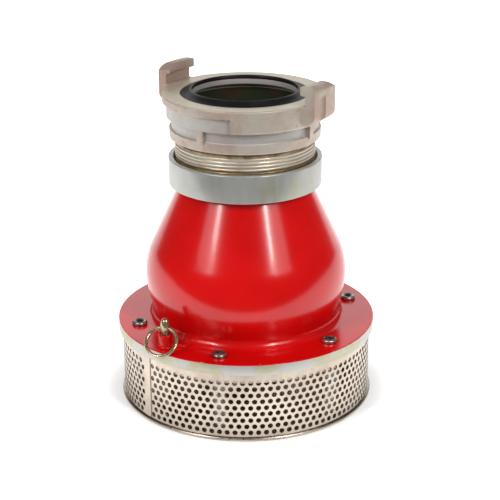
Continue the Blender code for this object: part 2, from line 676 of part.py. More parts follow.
def build():
    clear_scene()
    red = make_material("red_enamel", (0.60, 0.006, 0.008), 0.18, 0.0)
    zinc = make_material("zinc_plate", (0.52, 0.52, 0.50), 0.38, 1.0)
    cast = make_material("cast_aluminium", (0.44, 0.38, 0.31), 0.45, 1.0)
    stainless = make_material("stainless_sheet", (0.56, 0.52, 0.46), 0.32, 1.0)
    brass = make_material("brass", (0.66, 0.55, 0.32), 0.28, 1.0)
    steel = make_material("steel", (0.50, 0.50, 0.50), 0.35, 1.0)
    rubber = make_material("black_rubber", (0.02, 0.02, 0.022), 0.55, 0.0)

    finish(make_bell(), red)
    finish(make_flange(), red)
    finish(make_rod_boss(), red)
    finish(make_collar(), zinc)
    finish(make_coupling(), cast)
    finish(make_seat_plate(), cast)
    finish(make_guide_bush(), brass)
    finish(make_rod_bush(), brass)
    for gasket in (make_coupling_seal(), make_spigot_gasket(), make_flange_gasket()):
        finish(gasket, rubber)

    finish(make_strainer_band(), stainless)
    finish(make_strainer_base(), stainless)
    ring_of_copies("flange_screw", make_flange_screw_mesh(), steel)
    ring_of_copies("strainer_pillar", make_pillar_mesh(), steel)
    ring_of_copies("base_screw", make_base_screw_mesh(), steel)
    finish(make_lever_bracket(), steel)
    finish(make_lever_pin(), steel)

    valve = pivot("valve_lift", Vector((0.0, 0.0, SEAT_TOP * MM)))
    nut_bottom = disc_bottom() + 10.5 + GAP
    stop_top = HUB_BOTTOM - 0.5 - LIFT - GAP
    for thing, material in ((make_valve_disc(), cast), (make_disc_seal(), rubber),
                            (make_seal_clamp(), steel), (make_spindle(), steel),
                            (make_hex_nut("spindle_nut", 18.0, nut_bottom, nut_bottom + 8.0), steel),
                            (make_hex_nut("stop_nut", 18.0, stop_top - 5.0, stop_top), steel)):
        put(finish(thing, material), valve, valve.location)

    hinge = bearing_point(-PIVOT_CIRCLE, ROD_BEARING, LEVER_HEIGHT)
    put(finish(make_lever(), steel), None, hinge)

    slide = pivot("rod_slide", bearing_point(ROD_CIRCLE, ROD_BEARING, FLANGE_TOP))
    put(finish(make_pull_rod(), brass), slide, slide.location)
    put(finish(make_rod_nut(), brass), slide, slide.location)
    put(finish(make_pull_ring(), brass), slide, eye_center())


build()
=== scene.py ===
"""Looks of the foot valve: fine meshes, finishes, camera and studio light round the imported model.

Lengths are millimetres in the constants and in every outline, and metres in the scene.  Angles round the
valve's axis are bearings: 0 is the front, where the camera stands, and they grow towards +X.
"""
import json
import math

import bmesh
import bpy
from mathutils import Matrix, Vector


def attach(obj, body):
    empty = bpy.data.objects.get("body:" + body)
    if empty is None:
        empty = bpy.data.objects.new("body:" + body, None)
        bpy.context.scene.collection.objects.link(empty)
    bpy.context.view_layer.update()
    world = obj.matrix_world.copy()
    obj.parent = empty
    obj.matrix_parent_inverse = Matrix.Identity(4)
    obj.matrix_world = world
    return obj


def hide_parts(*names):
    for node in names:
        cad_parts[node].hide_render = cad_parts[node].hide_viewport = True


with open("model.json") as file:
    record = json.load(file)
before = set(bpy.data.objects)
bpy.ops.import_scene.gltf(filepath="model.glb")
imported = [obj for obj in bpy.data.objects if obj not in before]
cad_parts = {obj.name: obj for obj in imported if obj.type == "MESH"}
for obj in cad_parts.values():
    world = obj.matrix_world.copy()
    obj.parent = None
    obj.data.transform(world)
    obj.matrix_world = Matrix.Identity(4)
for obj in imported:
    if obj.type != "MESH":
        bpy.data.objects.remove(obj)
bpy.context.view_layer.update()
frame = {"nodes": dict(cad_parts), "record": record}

MM = 0.001
GAP = 0.3
STEPS = 192                    # facets round the large turned pieces
SMALL_STEPS = 32               # facets round screws and rods

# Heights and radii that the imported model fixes
FLANGE_TOP = 75.5
FLANGE_BOTTOM = 65.5
FLANGE_RADIUS = 120.0
FLANGE_BORE = 72.5
COLLAR_BOTTOM = 205.3
COLLAR_TOP = 230.8
COLLAR_RADIUS = 69.7
FACE = 288.7                   # sealing face of the coupling
SPIGOT_BOTTOM = 211.9
SPIGOT_RADIUS = 63.5
THREAD_ROOT = 62.7
THREAD_PITCH = 3.2
CLAW_BEARINGS = (54.9, 234.9)
SCREW_CIRCLE = 102.7
SCREW_BEARINGS = [-13.4 + 60.0 * index for index in range(6)]
ROD_CIRCLE = 106.5
ROD_BEARING = -42.5
EYE_HEIGHT = 93.5
RING_RADIUS = 14.0
RING_WIRE = 1.65
RING_AXIS_BEARING = 72.5
RING_DROP = 41.5

# Strainer sheet
BAND_RADIUS = 116.5
BAND_WALL = 0.8
BAND_BOTTOM = 3.7
BAND_TOP = 65.2
HOLE_COLUMNS = 103
HOLE_ROWS = 9
HOLE_PITCH = 7.0
ROW_PITCH = 6.06
FIRST_ROW = 8.0
HOLE_RADIUS = 2.4
SEAM_BEARING = -50.0


# ---------------------------------------------------------------- finishes

def tint(red, green, blue):
    """A display colour, 0 to 255, as the linear colour that a shader takes."""
    return tuple((value / 255.0 / 12.92) if value <= 10 else ((value / 255.0 + 0.055) / 1.055) ** 2.4
                 for value in (red, green, blue)) + (1.0,)


class Wire:
    """An output socket of a finish; arithmetic on it adds Math nodes."""

    def __init__(self, finish, socket):
        self.finish = finish
        self.socket = socket

    def math(self, operation, first, second):
        return self.finish.node("ShaderNodeMath", {"operation": operation}, {0: first, 1: second})

    def __add__(self, other):
        return self.math("ADD", self, other)

    def __sub__(self, other):
        return self.math("SUBTRACT", self, other)

    def __rsub__(self, other):
        return self.math("SUBTRACT", other, self)

    def __mul__(self, other):
        return self.math("MULTIPLY", self, other)

    def __truediv__(self, other):
        return self.math("DIVIDE", self, other)

    __radd__ = __add__
    __rmul__ = __mul__


class Finish:
    """A material whose nodes are written as calls and expressions."""

    def __init__(self, name):
        self.material = bpy.data.materials.new(name)
        self.material.use_nodes = True
        self.tree = self.material.node_tree
        self.shader = self.tree.nodes["Principled BSDF"]
        self.place = self.node("ShaderNodeTexCoord", output="Object")

    def node(self, kind, settings=None, values=None, output=0):
        """Add a node: its settings come first, then the values or wires of its inputs."""
        node = self.tree.nodes.new(kind)
        for name, value in (settings or {}).items():
            setattr(node, name, value)
        for key, value in (values or {}).items():
            self.feed(node.inputs[key], value)
        return Wire(self, node.outputs[output])

    def feed(self, socket, value):
        if isinstance(value, Wire):
            self.tree.links.new(value.socket, socket)
        else:
            socket.default_value = value

    def stretched(self, x, y, z):
        return self.node("ShaderNodeMapping", None, {"Vector": self.place, "Scale": (x, y, z)})

    def noise(self, scale, detail=3.0, where=None, rough=0.55):
        return self.node("ShaderNodeTexNoise", None,
                         {"Vector": where or self.place, "Scale": scale, "Detail": detail,
                          "Roughness": rough})

    def height(self):
        """Object Z in millimetres."""
        split = self.node("ShaderNodeSeparateXYZ", None, {0: self.place}, output="Z")
        return split * (1.0 / MM)

    def radius(self, center=(0.0, 0.0, 0.0), flat=True):
        """Distance in millimetres from a point, or from the vertical line through it."""
        away = self.node("ShaderNodeVectorMath", {"operation": "SUBTRACT"}, {0: self.place, 1: center})
        level = (1.0, 1.0, 0.0) if flat else (1.0, 1.0, 1.0)
        away = self.node("ShaderNodeVectorMath", {"operation": "MULTIPLY"}, {0: away, 1: level})
        length = self.node("ShaderNodeVectorMath", {"operation": "LENGTH"}, {0: away}, output="Value")
        return length * (1.0 / MM)

    def step(self, value, low, high, bottom=0.0, top=1.0):
        """A smooth change from bottom to top while a value goes from low to high."""
        return self.node("ShaderNodeMapRange", {"interpolation_type": "SMOOTHSTEP"},
                         {"Value": value, "From Min": low, "From Max": high,
                          "To Min": bottom, "To Max": top})

    def blend(self, share, first, second):
        """A colour between two colours."""
        node = self.tree.nodes.new("ShaderNodeMix")
        node.data_type = "RGBA"
        for index, value in ((0, share), (6, first), (7, second)):
            self.feed(node.inputs[index], value)
        return Wire(self, node.outputs[2])

    def bump(self, height, depth, strength=1.0):
        """A normal from a height wire, with the depth in millimetres."""
        return self.node("ShaderNodeBump", None,
                         {"Height": height, "Distance": depth * MM, "Strength": strength})

    def surface(self, **sockets):
        for name, value in sockets.items():
            self.feed(self.shader.inputs[name.replace("_", " ")], value)
        return self.material


def make_enamel():
    """Gloss red enamel over bare machined steel, which shows on the flange's edge and where it is chipped."""
    finish = Finish("red_enamel")
    cloud = finish.noise(14.0, 2.0)
    chips = finish.noise(210.0, 4.0, rough=0.65)
    peel = finish.noise(260.0, 1.0)
    dust = finish.step(finish.noise(900.0, 1.0), 0.74, 0.80)
    edge = finish.step(finish.height() + chips * 0.9, FLANGE_TOP - 0.35, FLANGE_TOP - 0.1)
    nibbled = finish.step(finish.radius() + finish.step(chips, 0.60, 0.74) * 2.6, 119.8, 120.3)
    painted = edge * (1.0 - nibbled)
    scuff_center = bearing_point(ROD_CIRCLE - 11.0, ROD_BEARING + 4.0, FLANGE_TOP)
    near_boss = finish.step(finish.radius(scuff_center, flat=False), 7.0, 17.0, 1.0, 0.0)
    scratches = finish.step(finish.noise(150.0, 5.0, finish.stretched(1.0, 2.6, 1.0), 0.7), 0.52, 0.66)
    scuffed = near_boss * scratches
    red = finish.blend(finish.step(cloud, 0.35, 0.7), tint(196, 4, 4), tint(210, 8, 9))
    red = finish.blend(dust * 0.25, red, tint(225, 120, 115))
    red = finish.blend(scuffed * 0.5, red, tint(190, 120, 108))
    stain = finish.step(finish.noise(40.0, 3.0), 0.45, 0.62)
    steel = finish.blend(stain, tint(186, 186, 182), tint(180, 176, 150))
    turning = finish.noise(30.0, 2.0, finish.stretched(1.0, 1.0, 60.0))
    bare_rough = finish.step(turning, 0.3, 0.7, 0.34, 0.5)
    relief = painted * 0.8 + peel * 0.12 + turning * 0.1 - scuffed * 0.2
    return finish.surface(Base_Color=finish.blend(painted, steel, red),
                          Metallic=0.6 - painted * 0.6,
                          Roughness=bare_rough + painted * (0.2 - bare_rough) + scuffed * 0.25,
                          Specular_IOR_Level=0.42, Coat_Weight=painted * 0.15, Coat_Roughness=0.05,
                          Normal=finish.bump(relief, 0.12, 0.6))


def make_metal(name, light, dark, rough, grain=(1.0, 1.0, 1.0), grain_scale=60.0, depth=0.03,
               cloud_scale=22.0, metallic=1.0, tarnish=None, tarnish_share=0.5):
    """A metal whose tone wanders between two colours, with a directional grain and an optional tarnish."""
    finish = Finish(name)
    cloud = finish.step(finish.noise(cloud_scale, 3.0), 0.32, 0.68)
    fine = finish.noise(grain_scale, 3.0, finish.stretched(*grain))
    color = finish.blend(cloud * 0.7 + fine * 0.3, dark, light)
    if tarnish:
        spots = finish.step(finish.noise(cloud_scale * 1.7, 4.0, rough=0.62), 0.53, 0.68)
        color = finish.blend(spots * tarnish_share, color, tarnish)
    return finish.surface(Base_Color=color, Metallic=metallic,
                          Roughness=finish.step(fine, 0.3, 0.7, rough[0], rough[1]),
                          Normal=finish.bump(fine, depth, 0.6))


def make_casting():
    """Weathered cast aluminium: warm and grainy where cast, paler where it is machined."""
    finish = Finish("cast_aluminium")
    cloud = finish.step(finish.noise(26.0, 4.0, rough=0.6), 0.36, 0.64)
    sand = finish.noise(700.0, 3.0, rough=0.7)
    pits = finish.step(finish.noise(330.0, 2.0), 0.68, 0.76)
    green = finish.step(finish.noise(34.0, 3.0), 0.52, 0.66)
    face = finish.step(finish.height(), FACE - 0.6, FACE - 0.2)
    machined = face * (1.0 - finish.step(finish.height(), FACE + 0.2, FACE + 0.6))
    machined = machined * finish.step(finish.radius(), 74.4, 74.8, 1.0, 0.0)
    sunk = (finish.step(finish.radius(), 67.0, 67.6, 1.0, 0.0) * finish.step(finish.radius(), 60.0, 62.0)
            + finish.step(finish.radius(), 71.2, 71.8, 1.0, 0.0)
            * finish.step(finish.height(), FACE - 20.4, FACE - 20.0))
    color = finish.blend(cloud, tint(184, 158, 144), tint(198, 188, 176))
    color = finish.blend(green * 0.35, color, tint(180, 184, 152))
    color = finish.blend(sunk * (1.0 - face) * 0.6, color, tint(190, 190, 188))
    color = finish.blend(machined * 0.6, color, tint(206, 198, 176))
    color = finish.blend(pits * 0.45, color, tint(116, 98, 84))
    return finish.surface(Base_Color=color, Metallic=0.45,
                          Roughness=finish.step(sand, 0.3, 0.7, 0.42, 0.58) - machined * 0.1,
                          Normal=finish.bump(sand * 0.8 - pits * 0.5, 0.16, 0.7))


def make_thread_finish():
    """Bare aluminium thread, stained golden brown by sealant above and below, with painted shade in its
    roots.
    """
    finish = Finish("stained_thread")
    ragged = finish.noise(90.0, 4.0, rough=0.65)
    height = finish.height() + ragged * 5.0
    upper = finish.step(height, FACE - 43.5, FACE - 39.5)
    lower = finish.step(height, COLLAR_TOP + 3.6, COLLAR_TOP + 6.2, 1.0, 0.0)
    # painted shade: the thread's roots are darkened towards brown, where shade falls between the ridges
    painted_root_shade = finish.step(finish.radius(), THREAD_ROOT + 0.1, SPIGOT_RADIUS - 0.4, 1.0, 0.0)
    stain = finish.blend(finish.step(ragged, 0.4, 0.62), tint(140, 110, 40), tint(84, 56, 18))
    color = finish.blend(finish.noise(30.0, 3.0), tint(196, 184, 166), tint(222, 212, 196))
    color = finish.blend(painted_root_shade * 0.35, color, tint(120, 102, 78))
    color = finish.blend(upper * 0.9, color, stain)
    color = finish.blend(lower * 0.85, color, stain)
    return finish.surface(Base_Color=color, Metallic=0.55 - upper * 0.3,
                          Roughness=finish.step(ragged, 0.3, 0.7, 0.30, 0.5),
                          Normal=finish.bump(ragged, 0.15, 0.5))


def make_painted_shade_inside():
    """The waterway's wall: greenish primer with rust, painted nearly black as the shade deep inside the bore.
    """
    finish = Finish("waterway_wall_painted_shade")
    blotch = finish.noise(42.0, 5.0, rough=0.65)
    rust = finish.step(blotch, 0.56, 0.66)
    # painted shade: both colours are near black, standing in for the shade inside the waterway
    color = finish.blend(rust, tint(38, 44, 20), tint(58, 36, 16))
    return finish.surface(Base_Color=color, Metallic=0.2,
                          Roughness=finish.step(blotch, 0.3, 0.7, 0.45, 0.75),
                          Normal=finish.bump(blotch, 0.4, 0.5))


def make_rubber():
    finish = Finish("black_rubber")
    grain = finish.noise(800.0, 2.0)
    bloom = finish.step(finish.noise(45.0, 3.0), 0.45, 0.7)
    return finish.surface(Base_Color=finish.blend(bloom, tint(17, 17, 19), tint(34, 33, 35)),
                          Roughness=finish.step(grain, 0.3, 0.7, 0.36, 0.5),
                          Normal=finish.bump(grain, 0.04, 0.5))


# ---------------------------------------------------------------- shapes

def bearing_point(radius, bearing, height):
    """A point in metres at a radius, a bearing and a height given in millimetres and degrees."""
    angle = math.radians(bearing)
    return Vector((radius * math.sin(angle), -radius * math.cos(angle), height)) * MM


def bearing_turn(bearing):
    """The turn about Z that carries +X to a bearing."""
    return Matrix.Rotation(math.radians(bearing - 90.0), 4, "Z")


def arc(center, radius, start, stop, steps):
    """Points on a circle in the (radius, height) plane, from one angle to another in degrees."""
    turns = [math.radians(start + (stop - start) * index / steps) for index in range(steps + 1)]
    return [(center[0] + radius * math.cos(turn), center[1] + radius * math.sin(turn)) for turn in turns]


def bezier(start, pull_start, pull_stop, stop, steps):
    points = []
    for index in range(steps + 1):
        t = index / steps
        weights = ((1 - t) ** 3, 3 * t * (1 - t) ** 2, 3 * t * t * (1 - t), t ** 3)
        corners = (start, pull_start, pull_stop, stop)
        points.append(tuple(sum(weight * corner[axis] for weight, corner in zip(weights, corners))
                            for axis in (0, 1)))
    return points


def eased(corners, steps=4):
    """An outline of (radius, height, fillet) corners with each filleted corner rounded off."""
    points = []
    for index, (radius, height, fillet) in enumerate(corners):
        corner = Vector((radius, height))
        if not fillet:
            points.append(tuple(corner))
            continue
        before = Vector(corners[index - 1][:2]) - corner
        after = Vector(corners[(index + 1) % len(corners)][:2]) - corner
        reach = min(fillet, before.length * 0.48, after.length * 0.48)
        first, last = corner + before.normalized() * reach, corner + after.normalized() * reach
        for step in range(steps + 1):
            t = step / steps
            points.append(tuple(first * (1 - t) ** 2 + corner * 2 * t * (1 - t) + last * t * t))
    return points


def finished(bm, name, material, sharp=32.0):
    """Close a bmesh into a smooth-shaded object at the origin with its faces pointing out."""
    bmesh.ops.remove_doubles(bm, verts=bm.verts, dist=2e-6)
    bmesh.ops.recalc_face_normals(bm, faces=bm.faces)
    mesh = bpy.data.meshes.new(name)
    bm.to_mesh(mesh)
    bm.free()
    thing = bpy.data.objects.new(name, mesh)
    bpy.context.scene.collection.objects.link(thing)
    return coat(thing, material, sharp)


def coat(thing, material, sharp=32.0):
    thing.data.materials.clear()
    thing.data.materials.append(material)
    thing.data.shade_smooth()
    thing.data.set_sharp_from_angle(angle=math.radians(sharp))
    return thing


def spun(outline, steps=STEPS):
    """A bmesh of an outline of (radius, height) points turned round Z, closed unless it ends on the axis."""
    bm = bmesh.new()
    points = [bm.verts.new((radius * MM, 0.0, height * MM)) for radius, height in outline]
    edges = [bm.edges.new(pair) for pair in zip(points, points[1:])]
    if outline[0][0] > 0.0:
        edges.append(bm.edges.new((points[-1], points[0])))
    bmesh.ops.spin(bm, geom=points + edges, cent=(0, 0, 0), axis=(0, 0, 1), angle=math.tau,
                   steps=steps, use_merge=True)
    return bm


def swept(outline, bearing, spread, steps):
    """A bmesh of a closed outline swept round Z over a spread of bearings, with its end faces."""
    bm = bmesh.new()
    face = bm.faces.new([bm.verts.new((radius * MM, 0.0, height * MM)) for radius, height in outline])
    bmesh.ops.rotate(bm, verts=bm.verts, cent=(0, 0, 0),
                     matrix=bearing_turn(bearing - spread / 2.0).to_3x3())
    bmesh.ops.spin(bm, geom=[face], cent=(0, 0, 0), axis=(0, 0, 1), angle=math.radians(spread),
                   steps=steps)
    bmesh.ops.remove_doubles(bm, verts=bm.verts, dist=1e-7)
    bmesh.ops.recalc_face_normals(bm, faces=bm.faces)
    return bm


def combined(thing, others, operation, material, sharp=32.0):
    """Add or take away other shapes with exact Booleans and keep the finished mesh."""
    for other in others:
        step = thing.modifiers.new(operation, "BOOLEAN")
        step.operation = operation
        step.object = other
    graph = bpy.context.evaluated_depsgraph_get()
    graph.update()
    thing.data = bpy.data.meshes.new_from_object(thing.evaluated_get(graph))
    thing.modifiers.clear()
    for other in others:
        bpy.data.objects.remove(other, do_unlink=True)
    return coat(thing, material, sharp)


def carried(bm, radius, bearing):
    """Carry a shape made on the Z axis out to a radius on a bearing, turned to face out."""
    place = Matrix.Translation(bearing_point(radius, bearing, 0.0)) @ bearing_turn(bearing)
    bmesh.ops.transform(bm, matrix=place, verts=bm.verts)
    return bm


def settle(thing, body, slot, *nodes):
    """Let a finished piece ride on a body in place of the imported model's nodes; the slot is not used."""
    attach(thing, body)
    if nodes:
        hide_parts(*nodes)
    return thing


# ---------------------------------------------------------------- bell, flange and collar

def bell_outline():
    """The bell's outside above the flange: fillet, waist, bulge, then a straight cone."""
    waist, bulge = (86.0, FLANGE_TOP + 8.0), (93.0, FLANGE_TOP + 44.0)
    points = arc((94.0, waist[1]), 8.0, 270.0, 180.0, 12)
    points += bezier(waist, (88.5, FLANGE_TOP + 17.0), (93.0, FLANGE_TOP + 29.0), bulge, 24)[1:]
    points += arc((bulge[0] - 64.0, bulge[1]), 64.0, 0.0, 25.4, 12)[1:]
    cone_start, cone_stop = Vector(points[-1]), Vector((59.5, COLLAR_BOTTOM - GAP))
    points += [tuple(cone_start.lerp(cone_stop, share)) for share in (0.34, 0.67, 1.0)]
    return points


def make_bell(enamel, inside):
    """Bell and flange in one casting, bored for the screws and for the pull rod's bush."""
    outside = bell_outline()
    wall = 4.0
    inner = []
    for index, (radius, height) in enumerate(outside):
        before, after = outside[max(index - 1, 0)], outside[min(index + 1, len(outside) - 1)]
        run = Vector((after[0] - before[0], after[1] - before[1])).normalized()
        if height > FLANGE_TOP + 7.9:
            inner.append((radius - wall * run.y, min(height + wall * run.x, outside[-1][1])))
    inner = [(inner[0][0], FLANGE_TOP)] + inner
    flange = eased([(FLANGE_BORE, FLANGE_TOP, 0.0), (FLANGE_BORE, FLANGE_BOTTOM, 0.4),
                    (FLANGE_RADIUS, FLANGE_BOTTOM, 0.6), (FLANGE_RADIUS, FLANGE_TOP, 0.8),
                    (outside[0][0] + 6.0, FLANGE_TOP, 0.0)])
    body = finished(spun(flange + outside + inner[::-1]), "bell_casting", enamel)
    cutters = []
    for radius, circle, bearing in ([(4.3, SCREW_CIRCLE, bearing) for bearing in SCREW_BEARINGS]
                                    + [(4.8, ROD_CIRCLE, ROD_BEARING)]):
        drill = spun([(0.0, 60.0), (radius, 60.0), (radius, 80.0), (0.0, 80.0)], SMALL_STEPS)
        cutters.append(finished(carried(drill, circle, bearing), "drill", enamel))
    combined(body, cutters, "DIFFERENCE", enamel)
    line_inside(body, inside)
    return settle(body, "root", "red_enamel", "bell_body", "flange_plate")


def line_inside(thing, inside):
    """Give the faces that look towards the axis the waterway's finish."""
    thing.data.materials.append(inside)
    for face in thing.data.polygons:
        radius = math.hypot(face.center.x, face.center.y)
        outward = face.center.x * face.normal.x + face.center.y * face.normal.y
        if outward < -0.3 * radius and radius < 95.0 * MM:
            face.material_index = 1


def make_collar(zinc):
    bore = SPIGOT_RADIUS + 0.4
    outline = eased([(56.0, COLLAR_BOTTOM, 0.0), (COLLAR_RADIUS, COLLAR_BOTTOM, 1.0),
                     (COLLAR_RADIUS, COLLAR_TOP, 1.2), (bore + 1.8, COLLAR_TOP, 0.6),
                     (bore, COLLAR_TOP - 2.4, 0.4), (bore, COLLAR_BOTTOM + 4.0, 0.0),
                     (56.0, COLLAR_BOTTOM + 4.0, 0.0)])
    return settle(finished(spun(outline), "zinc_collar", zinc), "root", "zinc_plate", "threaded_collar")


def make_boss(enamel):
    bottom, top = FLANGE_TOP + GAP, FLANGE_TOP + 12.0
    outline = eased([(4.8, bottom, 0.0), (8.0, bottom, 0.0), (7.0, bottom + 0.8, 1.2),
                     (6.5, bottom + 2.4, 1.0), (6.5, top, 1.4), (4.8, top, 0.3)])
    boss = finished(carried(spun(outline, 48), ROD_CIRCLE, ROD_BEARING), "guide_boss", enamel)
    return settle(boss, "root", "red_enamel", "rod_boss")


# ---------------------------------------------------------------- coupling

def coupling_outline():
    """Section of the coupling's head down to the shoulder above its thread."""
    rows = [(56.0, -39.6, 0.0), (56.0, -9.0, 1.2), (48.2, -5.2, 0.6), (48.2, -0.4, 0.4),
            (50.2, -0.4, 0.4), (50.2, -3.0, 0.2), (58.2, -3.0, 0.3), (58.2, 0.0, 0.6),
            (74.25, 0.0, 1.2), (74.25, -6.9, 0.5),
            (73.95, -7.2, 0.0), (73.95, -18.7, 0.8), (72.4, -20.2, 0.6), (70.3, -20.3, 0.3),
            (70.3, -32.2, 0.4), (68.6, -32.6, 0.3), (68.2, -39.6, 1.4)]
    return eased([(radius, FACE + height, fillet) for radius, height, fillet in rows])


def make_claw(bearing, material):
    """A hook with soft cast edges: a wall outside the rim with a lip back over it.

    One end is cut off flat across the hook, the other falls away at the top, and a flute runs down its back.
    """
    rows = [(71.0, -15.5, 0.0), (79.0, -16.0, 3.0), (84.5, -12.0, 5.0), (84.5, 15.0, 3.5),
            (81.0, 18.0, 3.0), (73.0, 17.6, 1.4), (73.0, 9.5, 1.4), (77.2, 9.0, 1.6),
            (77.2, -0.4, 1.0), (71.0, -0.4, 0.0)]
    outline = eased([(radius, FACE + height, fillet) for radius, height, fillet in rows], 3)
    bm = swept(outline, bearing - 2.5, 32.2, 16)
    front = bearing_point(1.0 / MM, bearing - 75.0, 0.0)
    fall = (bearing_point(1.0 / MM, bearing + 90.0, 0.0) + Vector((0, 0, 1.8))).normalized()
    cuts = [(bearing_point(79.0, bearing - 12.3, FACE), front),
            (bearing_point(84.5, bearing + 13.6, FACE + 12.0), fall)]
    for point, normal in cuts:
        bmesh.ops.bisect_plane(bm, geom=bm.verts[:] + bm.edges[:] + bm.faces[:], dist=1e-7,
                               plane_co=point, plane_no=normal, clear_outer=True)
        bmesh.ops.contextual_create(bm, geom=[edge for edge in bm.edges if edge.is_boundary])
    bmesh.ops.recalc_face_normals(bm, faces=bm.faces)
    corners = [edge for edge in bm.edges if edge.calc_face_angle(0.0) > math.radians(50.0)]
    bmesh.ops.bevel(bm, geom=corners, offset=1.3 * MM, affect="EDGES", segments=3, profile=0.5, material=-1,
                    clamp_overlap=True)
    claw = finished(bm, "claw", material)
    flute = [(0.0, FACE - 20.0), (6.0, FACE - 20.0), (6.0, FACE + 6.0)]
    flute += arc((0.0, FACE + 6.0), 6.0, 0.0, 90.0, 10)[1:]
    groove = finished(carried(spun(flute, 48), 88.2, bearing - 2.6), "groove", material)
    return combined(claw, [groove], "DIFFERENCE", material)


def make_coupling(casting, inside):
    head = finished(spun(coupling_outline()), "coupling_casting", casting)
    cutters = []
    for bearing in (-60.7, 119.3):
        rows = [(70.8, -20.5, 0.0), (80.0, -20.5, 0.0), (80.0, -7.0, 0.0), (70.8, -7.0, 0.5)]
        cutters.append(face_sweep(rows, bearing, 101.5, 54))
    for bearing in (-34.0, 56.0, 146.0, 236.0):
        rows = [(66.4, -31.0, 0.8), (80.0, -31.0, 0.0), (80.0, -20.6, 0.0), (66.4, -20.6, 0.8)]
        cutters.append(face_sweep(rows, bearing + 45.0, 85.0, 44))
        rows = [(68.3, -40.0, 0.0), (80.0, -40.0, 0.0), (80.0, -30.5, 0.0), (68.3, -30.5, 0.0)]
        cutters.append(face_sweep(rows, bearing + 45.0, 85.0, 44))
    combined(head, cutters, "DIFFERENCE", casting)
    combined(head, [make_claw(bearing, casting) for bearing in CLAW_BEARINGS], "UNION", casting)
    head.data.materials.append(inside)
    for face in head.data.polygons:
        if math.hypot(face.center.x, face.center.y) < 57.0 * MM and face.center.z < (FACE - 10.0) * MM:
            face.material_index = 1
    return settle(head, "root", "cast_aluminium", "coupling_head")


def face_sweep(rows, bearing, spread, steps):
    """A cutter swept round the axis, from (radius, height over the sealing face, fillet) corners."""
    outline = eased([(radius, FACE + height, fillet) for radius, height, fillet in rows])
    return finished(swept(outline, bearing, spread, steps), "cutter", None)


def make_spigot(thread_finish, inside):
    """The coupling's threaded spigot: a helical ridge cut level at both ends, with a smooth bore."""
    bottom, top = SPIGOT_BOTTOM, FACE - 39.9
    turns = int((top - bottom) / THREAD_PITCH) + 3
    start = bottom - 1.5 * THREAD_PITCH
    ridge = [(THREAD_ROOT, 0.0), (THREAD_ROOT + 0.2, 0.5), (SPIGOT_RADIUS - 0.2, 1.0), (SPIGOT_RADIUS, 1.3),
             (SPIGOT_RADIUS, 2.2), (SPIGOT_RADIUS - 0.2, 2.5), (THREAD_ROOT + 0.2, 3.0),
             (THREAD_ROOT, THREAD_PITCH)]
    bm = bmesh.new()
    points = [bm.verts.new((radius * MM, 0.0, (start + height) * MM)) for radius, height in ridge]
    edges = [bm.edges.new(pair) for pair in zip(points, points[1:])]
    steps = 144
    bmesh.ops.spin(bm, geom=points + edges, cent=(0, 0, 0), axis=(0, 0, 1), angle=math.tau * turns,
                   dvec=(0, 0, THREAD_PITCH * MM / steps), steps=steps * turns)
    bmesh.ops.remove_doubles(bm, verts=bm.verts, dist=1e-5)
    for level, outer in ((bottom, False), (top, True)):
        bmesh.ops.bisect_plane(bm, geom=bm.verts[:] + bm.edges[:] + bm.faces[:], dist=1e-7,
                               plane_co=(0, 0, level * MM), plane_no=(0, 0, 1),
                               clear_outer=outer, clear_inner=not outer)
    rims = [edge for edge in bm.edges if edge.is_boundary]
    tube = bmesh.ops.create_circle(bm, radius=56.0 * MM, segments=STEPS)["verts"]
    bmesh.ops.translate(bm, verts=tube, vec=(0, 0, bottom * MM))
    ring = [edge for edge in bm.edges if edge.verts[0] in tube and edge.verts[1] in tube]
    wall = bmesh.ops.extrude_edge_only(bm, edges=ring)["geom"]
    lifted = [item for item in wall if isinstance(item, bmesh.types.BMVert)]
    bmesh.ops.translate(bm, verts=lifted, vec=(0, 0, (top - bottom) * MM))
    upper_ring = [item for item in wall if isinstance(item, bmesh.types.BMEdge)
                  and item.verts[0] in lifted and item.verts[1] in lifted]
    middle = (bottom + top) / 2.0 * MM
    for circle, above in ((ring, False), (upper_ring, True)):
        rim = [edge for edge in rims if (edge.verts[0].co.z > middle) == above]
        bmesh.ops.bridge_loops(bm, edges=rim + circle)
    thing = finished(bm, "spigot_thread", thread_finish, 40.0)
    line_inside(thing, inside)
    return settle(thing, "root", "cast_aluminium")


def make_seal(rubber):
    rows = [(50.5, -2.7, 0.3), (57.9, -2.7, 0.4), (57.9, -0.9, 0.5), (53.5, 0.5, 1.4), (50.0, 3.0, 0.8),
            (48.6, 3.5, 0.6), (47.6, 3.1, 0.5), (47.4, 0.0, 0.4), (50.5, 0.0, 0.2)]
    outline = eased([(radius, FACE + height, fillet) for radius, height, fillet in rows])
    return settle(finished(spun(outline), "face_seal", rubber), "root", "black_rubber", "coupling_seal")


# ---------------------------------------------------------------- strainer

def hole_cell():
    """One flat cell of perforated sheet round a hole, in the XZ plane with its corner at the origin."""
    bm = bmesh.new()
    half = HOLE_PITCH / 2.0
    frame_points = [(0, 0), (half, 0), (HOLE_PITCH, 0), (HOLE_PITCH, ROW_PITCH), (half, ROW_PITCH),
                    (0, ROW_PITCH)]
    corners = [bm.verts.new((x, 0.0, z)) for x, z in frame_points]
    for index in range(len(corners)):
        bm.edges.new((corners[index - 1], corners[index]))
    hole = bmesh.ops.create_circle(bm, radius=HOLE_RADIUS, segments=12)["verts"]
    bmesh.ops.rotate(bm, verts=hole, cent=(0, 0, 0), matrix=Matrix.Rotation(math.pi / 2.0, 3, "X"))
    bmesh.ops.translate(bm, verts=hole, vec=(half, 0, ROW_PITCH / 2.0))
    bmesh.ops.triangle_fill(bm, edges=bm.edges[:], use_beauty=True)
    return bm


def copied(bm, geom, vec):
    """Duplicate geometry in a bmesh and move the copy."""
    twin = bmesh.ops.duplicate(bm, geom=geom)["geom"]
    verts = [item for item in twin if isinstance(item, bmesh.types.BMVert)]
    bmesh.ops.translate(bm, verts=verts, vec=vec)


